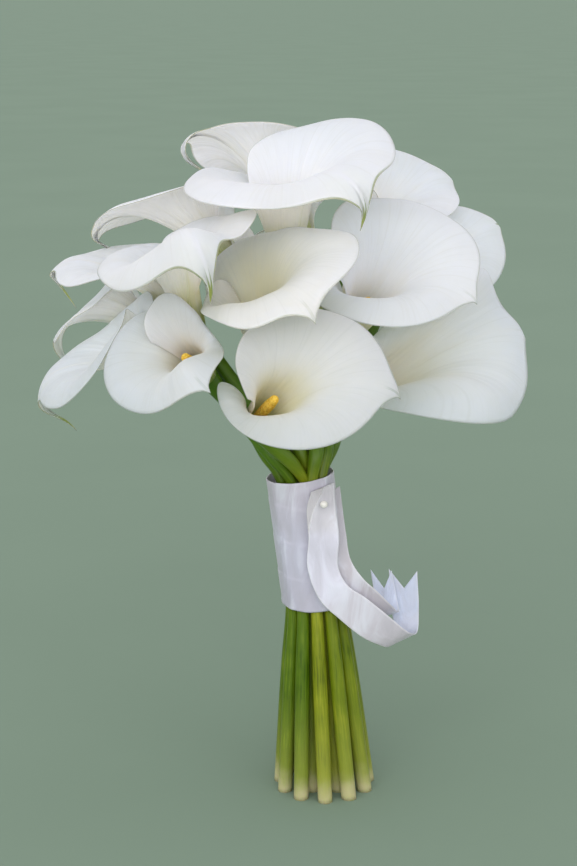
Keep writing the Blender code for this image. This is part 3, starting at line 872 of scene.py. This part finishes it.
def satin(name, tones, grain, fold=0.0):
    """Satin ribbon: a fine weave, soft creases with painted shade in their hollows and painted
    highlights on their crests, a firm woven edge, and perhaps a corner that looks folded in,
    painted darker as in shade with a painted highlight along its fold.
    """
    nodes = Nodes(name)
    where = nodes.where()
    place = nodes.place()
    split = nodes.add("SeparateXYZ", {"Vector": where})
    crease = nodes.noise(nodes.stretched(place, (70, 70, 22)), 1.0, 4.0, .55, .8)
    cloud = nodes.noise(place, 60.0, 3.0)
    threads = nodes.add("TexWave", {"Vector": nodes.stretched(where, (*grain, 1)), "Scale": 900.0,
                                    "Distortion": .5}, bands_direction="Y").outputs[1]
    edge = nodes.step(nodes.math("ABSOLUTE", nodes.math("SUBTRACT", split.outputs[0], .5)), .445, .465)
    along = nodes.math("MULTIPLY_ADD", cloud, .12, nodes.math("SUBTRACT", split.outputs[1], .06))
    # the tones along the piece; on the tails they hold painted light and shade
    colour = nodes.ramp(along, tones)
    # painted shade in the creases' hollows, then a painted highlight on their crests
    colour = nodes.tint(colour, nodes.step(crease, .62, .34), .45, (.50, .48, .54))
    colour = nodes.tint(colour, nodes.step(crease, .50, .68), .5, (.84, .87, .98))
    colour = nodes.tint(colour, edge, .35, (.90, .90, .95))
    normal = nodes.bump(crease, .0030, .5)
    normal = nodes.bump(threads, .00006, .4, normal)
    normal = nodes.bump(edge, .0003, .5, normal)
    # a corner that looks folded in: painted darker as in shade, with a painted highlight along the fold
    # line
    if fold:
        slant = nodes.math("MULTIPLY_ADD", split.outputs[0], fold, split.outputs[1])
        slant = nodes.math("SUBTRACT", slant, fold * .55)
        corner = nodes.step(slant, .004, -.004)
        colour = nodes.tint(colour, corner, .55, (.52, .49, .50))
        line = nodes.step(nodes.math("ABSOLUTE", slant), .007, .003)
        colour = nodes.tint(colour, line, .8, (.93, .93, .97))
        normal = nodes.bump(corner, -.0010, .8, normal)
    nodes.set(Base_Color=colour, Roughness=nodes.math("MULTIPLY_ADD", threads, .08, .28), Normal=normal,
              Specular_IOR_Level=.6, Sheen_Weight=.35, Sheen_Roughness=.35, Anisotropic=.4,
              Subsurface_Weight=.2, Subsurface_Radius=(.003, .003, .003), Subsurface_Scale=1.0)
    return nodes.material


def pearl_skin():
    """A faintly cloudy, glossy pearl."""
    nodes = Nodes("pearl_skin")
    cloud = nodes.noise(nodes.place(), 400.0, 3.0)
    colour = nodes.ramp(cloud, ((.3, (.88, .84, .78)), (.7, (.92, .88, .86))))
    nodes.set(Base_Color=colour, Roughness=nodes.math("MULTIPLY_ADD", cloud, .1, .12), Coat_Weight=.6,
              Coat_Roughness=.08, Subsurface_Weight=.3, Subsurface_Radius=(.001, .001, .001),
              Subsurface_Scale=1.0, Normal=nodes.bump(cloud, .00005, .3))
    return nodes.material


def studio_floor():
    """A plain, matt green-grey ground."""
    nodes = Nodes("studio_floor")
    grain = nodes.noise(nodes.place(), 3.0, 4.0)
    nodes.set(Base_Color=nodes.ramp(grain, FLOOR_TONES), Roughness=.95, Specular_IOR_Level=.05)
    return nodes.material


# Each kind of petal: how green its tip is, its tone at the rim, deep in the tube and in the
# throat, and how far up the throat's tone reaches. The tones differ from bloom to bloom as the
# light falls on each: front_low's beige rim and dark throat are painted shade, and front_mid's
# strong cream throat is partly its own cream and partly a painted glow of light through its petals
PETALS = {
    "front_low": (.30, (.895, .845, .82), (.34, .33, .07), (.76, .70, .47), .76),
    "front_mid": (.25, (.955, .935, .90), (.88, .76, .30), (.98, .885, .58), .94),
    "right_low": (.10, (.94, .935, .965), (.68, .60, .34), (.88, .80, .63), .82),
    "right_mid": (.20, WHITE, (.70, .65, .44), (.93, .91, .84), .40),
    "left_low": (.20, WHITE, (.70, .64, .38), (.90, .84, .73), .72),
}
PLAIN_PETAL = (1.0, WHITE, (.56, .54, .20), (.89, .87, .70), .52)

# The stems' tones, dark to light, from the left of the bunch to its right
STEM_TONES = (
    ((.040, .090, .002), (.085, .155, .004), (.16, .24, .012)),
    ((.060, .100, .004), (.120, .180, .008), (.20, .25, .02)),
    ((.100, .135, .004), (.205, .245, .008), (.31, .34, .02)),
    ((.075, .120, .003), (.150, .205, .006), (.24, .28, .015)),
)

# The ribbon's tones along each piece, and the grain of its weave. The wrap runs a little darker
# towards its foot. The tails' tones are mostly painted light: a bright, lit lavender, beige-grey
# painted shade round the pearl, where the front tail turns away and along the rear tail behind it,
# and a bluish painted sheen towards their cut ends
PAINTED_LIT_LAVENDER, PAINTED_BLUE_SHEEN = (.80, .79, .93), (.66, .73, .95)
WRAP_TONES = ((0, (.53, .52, .64)), (.5, (.60, .60, .74)), (1, (.64, .60, .71)))
WRAP_GRAIN = (.12, .076)
FRONT_TONES_AND_PAINTED_LIGHT = ((0, (.60, .58, .62)), (.09, (.70, .68, .74)), (.16, PAINTED_LIT_LAVENDER), (.30, PAINTED_LIT_LAVENDER),
               (.38, (.68, .65, .73)), (.60, (.64, .59, .66)), (.68, (.66, .67, .80)), (.76, PAINTED_BLUE_SHEEN))
FRONT_GRAIN = (.017, .2)
FRONT_FOLD = .25
REAR_TONES_AND_PAINTED_LIGHT = ((0, (.50, .47, .52)), (.66, (.58, .54, .59)), (.76, (.64, .67, .80)), (.84, PAINTED_BLUE_SHEEN))
REAR_GRAIN = (.015, .18)


def petal_pair(name, look):
    """The inside and the outside of a kind of petal."""
    return [petal_inside("petal_inside_" + name, *look), petal_outside("petal_outside_" + name, *look[:2])]


def fine_turns():
    """Turns round a spathe that crowd together at the tip."""
    half = np.linspace(0, 1, FINE_SIDE) ** FINE_CROWD * MARGIN
    return np.concatenate([-half[:0:-1], half])


def rippled(bloom, points, turns, rows, seed):
    """The points with the soft, uneven waves that run round a spathe's rim."""
    down = np.gradient(points, axis=0)
    across = np.gradient(points, axis=1)
    normal = np.cross(across, down)
    normal /= np.linalg.norm(normal, axis=2, keepdims=True) + 1e-9
    draw = np.random.default_rng(seed)
    wave = np.zeros(len(turns))
    for count in RIPPLE_COUNTS:
        swing = np.sin(np.radians(turns * count) + draw.uniform(0, 2 * np.pi))
        wave += swing * draw.uniform(.5, 1) / count ** .55
    fade = eased((MARGIN - np.abs(turns)) / MARGIN_FADE) * eased(np.abs(turns) / TIP_FADE)
    height = (wave * fade)[None, :] * eased((np.array(rows) - RIPPLE_START) / RIPPLE_REACH)[:, None]
    return points + normal * (height * RIPPLE * bloom.size)[..., None]


def add_spathe(bloom, presses, materials, seed):
    """A spathe's sheet, which thins towards its rim, with its outside in the second material."""
    turns, rows = fine_turns(), np.linspace(0, 1, FINE_ROWS)
    strand = STRANDS.get(bloom.name, SHORT_STRAND)
    points = pressed(bloom, spathe_points(bloom, turns, rows, FINE_STEPS, strand), presses)
    points = rippled(bloom, points, turns, rows, seed)
    across, along = np.meshgrid(turns / MARGIN / 2 + .5, rows)
    name = "petal_" + bloom.name
    mesh = grid_mesh(name, points, flip=bloom.hand > 0, map_points=np.stack([across, along], axis=-1))
    piece = new_piece(name, mesh, materials)
    group = piece.vertex_groups.new(name="body")
    thick = 1 - (1 - RIM_SHARE) * eased((rows - THIN_START) / THIN_REACH)
    for r in range(len(rows)):
        group.add(list(range(r * len(turns), (r + 1) * len(turns))), float(thick[r]), "REPLACE")
    sheet = thicken(piece, PETAL, 0)
    sheet.vertex_group = "body"
    sheet.material_offset = 1
    sheet.material_offset_rim = 1
    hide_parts("spathe_" + bloom.name)


def add_stem(bloom, place, path, materials, seed):
    """A stem as a rod through its stations, with its foot's cut face in the second material."""
    stations = stem_line(bloom, place, path)
    knots = np.concatenate([[0], np.cumsum(lengths(stations[:, :3]))])
    along = np.arange(0, knots[-1], STEM_STEP)
    along = np.append(along, knots[-1])
    line = np.column_stack([smooth(along, knots, stations[:, i]) for i in range(3)])
    radius = smooth(along, knots, stations[:, 3])
    tangent = np.gradient(line, axis=0)
    tangent /= np.linalg.norm(tangent, axis=1, keepdims=True)
    free = eased((line[:, 2] - TIE_HEAD + TIE_EASE) / (2 * TIE_EASE))[:, None]
    square = tangent * free + np.array([0, 0, 1.0]) * (1 - free)
    square[-1] = bloom.axes()[:, 2]
    start = np.random.default_rng(seed).uniform(0, 6)
    line[0, 2] = 0.0
    rings = [ring(middle, way, reach, STEM_SIDES, start, STEM_OVAL)
             for middle, way, reach in zip(line, square, radius)]
    name = "stalk_" + bloom.name
    mesh = rod_mesh(name, rings, map_height=knots[-1] / STEM_MAP)
    mesh.polygons[len(mesh.polygons) - 2].material_index = 1
    piece = new_piece(name, mesh, materials)
    for face in mesh.polygons[-2:]:
        face.use_smooth = False
    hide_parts("stem_" + bloom.name)


def add_spadix(bloom, presses, materials):
    """A spadix as a tapered rod, whose rings of florets stand between those of the next ring."""
    along = bloom.axes()[:, 2]
    long = SPADIX_LENGTH * bloom.size
    shares = np.concatenate([np.linspace(0, .9, 40), .9 + .1 * np.sin(np.linspace(0, np.pi / 2, 12))[1:]])
    shape = smooth(shares, (0, .12, .5, .82, .95, 1.0), (.8, .86, 1.0, .9, .6, .1))
    rings = []
    turn = np.linspace(0, 2 * np.pi, SPADIX_SIDES, endpoint=False)
    for i, (share, radius) in enumerate(zip(shares, shape)):
        bumps = 1 + FLORET * np.cos(turn * (SPADIX_SIDES // 2) + (i % 2) * np.pi)
        rings.append(ring(bloom.neck + along * (CLEAR + share * long), along,
                          radius * SPADIX_RADIUS * bumps, SPADIX_SIDES, i * FLORET_TURN))
    rings = [pressed(bloom, points, presses) for points in rings]
    name = "florets_" + bloom.name
    piece = new_piece(name, rod_mesh(name, rings), materials)
    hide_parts("spadix_" + bloom.name)


def wrap_points():
    """The wound ribbon's outside: a sleeve stepped along the laps of its turns."""
    columns, rows = WRAP_GRID
    turn = np.linspace(0, 2 * np.pi, columns + 1)
    lean = tie_middle(WRAP_HEAD) - tie_middle(WRAP_FOOT)
    axis, across, other = directions(np.array([*lean, WRAP_HEAD - WRAP_FOOT]))
    # The sleeve's foot is drawn up most at the back left, and not at all at the front right
    drawn_up = WRAP_SLANT * (1 - np.cos(turn - WRAP_LOW_TURN)) / 2
    points = []
    for level in np.linspace(WRAP_FOOT, WRAP_HEAD, rows):
        slant = drawn_up * eased((WRAP_FOOT + WRAP_SLANT_HEIGHT - level) / WRAP_SLANT_HEIGHT)
        lap = (level / WRAP_PITCH + turn / (2 * np.pi)) % 1
        step = WRAP_LAP * (eased(lap / LAP_CLIMB) - eased((lap - LAP_EDGE) / LAP_FALL))
        stems = .16 * np.cos(turn * 11 + level * .01) + .12 * np.sin(turn * 5 + level * .05)
        radius = WRAP_INSIDE + WRAP_OUT + step + stems
        middle = np.array([*tie_middle(level), level])
        points.append(middle + slant[:, None] * axis
                      + (radius * np.cos(turn))[:, None] * across
                      + (radius * np.sin(turn))[:, None] * other)
    return np.array(points)


def add_wrap(material):
    """The wound ribbon, as a thin sheet round its sleeve."""
    points = wrap_points()
    piece = new_piece("wound_ribbon", grid_mesh("wound_ribbon", points), [material])
    thicken(piece, WRAP_SHEET, -1)
    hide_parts("ribbon_wrap")


def tail_points(stations):
    """A ribbon tail as a grid: a smooth run through its stations, with a V cut at its end."""
    columns, rows = TAIL_GRID
    stations = np.array(stations, float)
    knots = np.arange(len(stations))
    along = np.linspace(0, len(stations) - 1, rows)
    line = np.column_stack([smooth(along, knots, stations[:, i]) for i in range(3)])
    half = np.column_stack([smooth(along, knots, stations[:, i]) for i in range(3, 6)])
    across = np.linspace(-1, 1, columns)
    points = line[:, None] + half[:, None] * across[None, :, None]
    step = line[-1] - line[-2]
    step /= np.linalg.norm(step)
    share = eased(along - along[-1] + 1)[:, None]
    points += share[..., None] * step * (np.abs(across)[:, None] * TAIL_CUT - TAIL_CUT * .5)
    return points


def add_tail(name, node, stations, material):
    """A loose tail, thickened into a thin sheet."""
    points = tail_points(stations)
    piece = new_piece(name, grid_mesh(name, points), [material])
    thicken(piece, TAIL_SHEET, 0)
    line = points[:, points.shape[1] // 2]
    run = np.gradient(line, axis=0)
    run /= np.linalg.norm(run, axis=1, keepdims=True)
    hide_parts(node)


def add_pearl(material):
    """The pearl, a plain ball."""
    mesh = bpy.data.meshes.new("pearl_pin")
    shape = bmesh.new()
    bmesh.ops.create_uvsphere(shape, u_segments=40, v_segments=24, radius=PEARL_RADIUS * MM)
    shape.to_mesh(mesh)
    shape.free()
    middle = Vector(placed(np.array(PEARL_MIDDLE, float)))
    for vertex in mesh.vertices:
        vertex.co = vertex.co + middle
    piece = new_piece("pearl_pin", mesh, [material])
    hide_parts("pearl")


def add_camera():
    """The camera at the photograph's viewing angle."""
    data = bpy.data.cameras.new("camera")
    data.lens = CAMERA_LENS
    data.sensor_width = CAMERA_SENSOR
    camera = new_object("camera", data)
    camera.location = placed(np.array(CAMERA_PLACE))
    look = Vector(CAMERA_TARGET) - Vector(CAMERA_PLACE)
    camera.rotation_euler = look.to_track_quat("-Z", "Y").to_euler()
    bpy.context.scene.camera = camera


def add_sun(name, towards, strength, angle, colour):
    """A broad, soft sun that shines from a direction."""
    data = bpy.data.lights.new(name, "SUN")
    data.energy = strength
    data.angle = math.radians(angle)
    data.color = colour
    new_object(name, data).rotation_euler = Vector(towards).to_track_quat("Z", "Y").to_euler()


def add_studio():
    """The floor, the suns and the air's soft light."""
    mesh = bpy.data.meshes.new("studio_floor")
    sides = ((-1, -1), (1, -1), (1, 1), (-1, 1))
    corners = [(across * FLOOR_HALF, along * FLOOR_HALF, 0) for across, along in sides]
    mesh.from_pydata(corners, [], [(0, 1, 2, 3)])
    mesh.materials.append(studio_floor())
    floor = new_object("studio_floor", mesh)
    for sun in SUNS:
        add_sun(*sun)
    world = bpy.data.worlds.new("studio_air")
    world.use_nodes = True
    air = world.node_tree.nodes["Background"].inputs
    air["Color"].default_value = AIR_COLOUR
    air["Strength"].default_value = AIR_STRENGTH
    bpy.context.scene.world = world
    bpy.context.scene.view_settings.view_transform = "Standard"


def main():
    """The camera, the studio and every piece."""
    add_camera()
    add_studio()
    plain = {bloom.name: spathe_points(bloom) for bloom in BLOOMS}
    presses = find_presses(plain)
    spathes = {bloom.name: pressed(bloom, plain[bloom.name], presses[bloom.name]) for bloom in BLOOMS}
    places = stem_places(BLOOMS)
    paths = free_paths(BLOOMS, places, spathes)
    plain_petal = petal_pair("plain", PLAIN_PETAL)
    petals = {name: petal_pair(name, look) for name, look in PETALS.items()}
    cut = stem_cut()
    skins = [[stem_skin("stem_skin_%d" % i, tones), cut] for i, tones in enumerate(STEM_TONES)]
    spadix_materials = [spadix_skin()]
    for seed, (bloom, place, path) in enumerate(zip(BLOOMS, places, paths)):
        add_spathe(bloom, presses[bloom.name], petals.get(bloom.name, plain_petal), seed)
        across = (place[0] + RING_RADII[-1]) / (2 * RING_RADII[-1])
        add_stem(bloom, place, path, skins[min(int(across * len(skins)), len(skins) - 1)], seed)
        add_spadix(bloom, presses[bloom.name], spadix_materials)
    add_wrap(satin("satin_wrap", WRAP_TONES, WRAP_GRAIN))
    add_tail("loose_ribbon_front", "ribbon_tail_front", FRONT_TAIL,
             satin("satin_front", FRONT_TONES_AND_PAINTED_LIGHT, FRONT_GRAIN, FRONT_FOLD))
    add_tail("loose_ribbon_rear", "ribbon_tail_rear", REAR_TAIL,
             satin("satin_rear", REAR_TONES_AND_PAINTED_LIGHT, REAR_GRAIN))
    add_pearl(pearl_skin())


main()
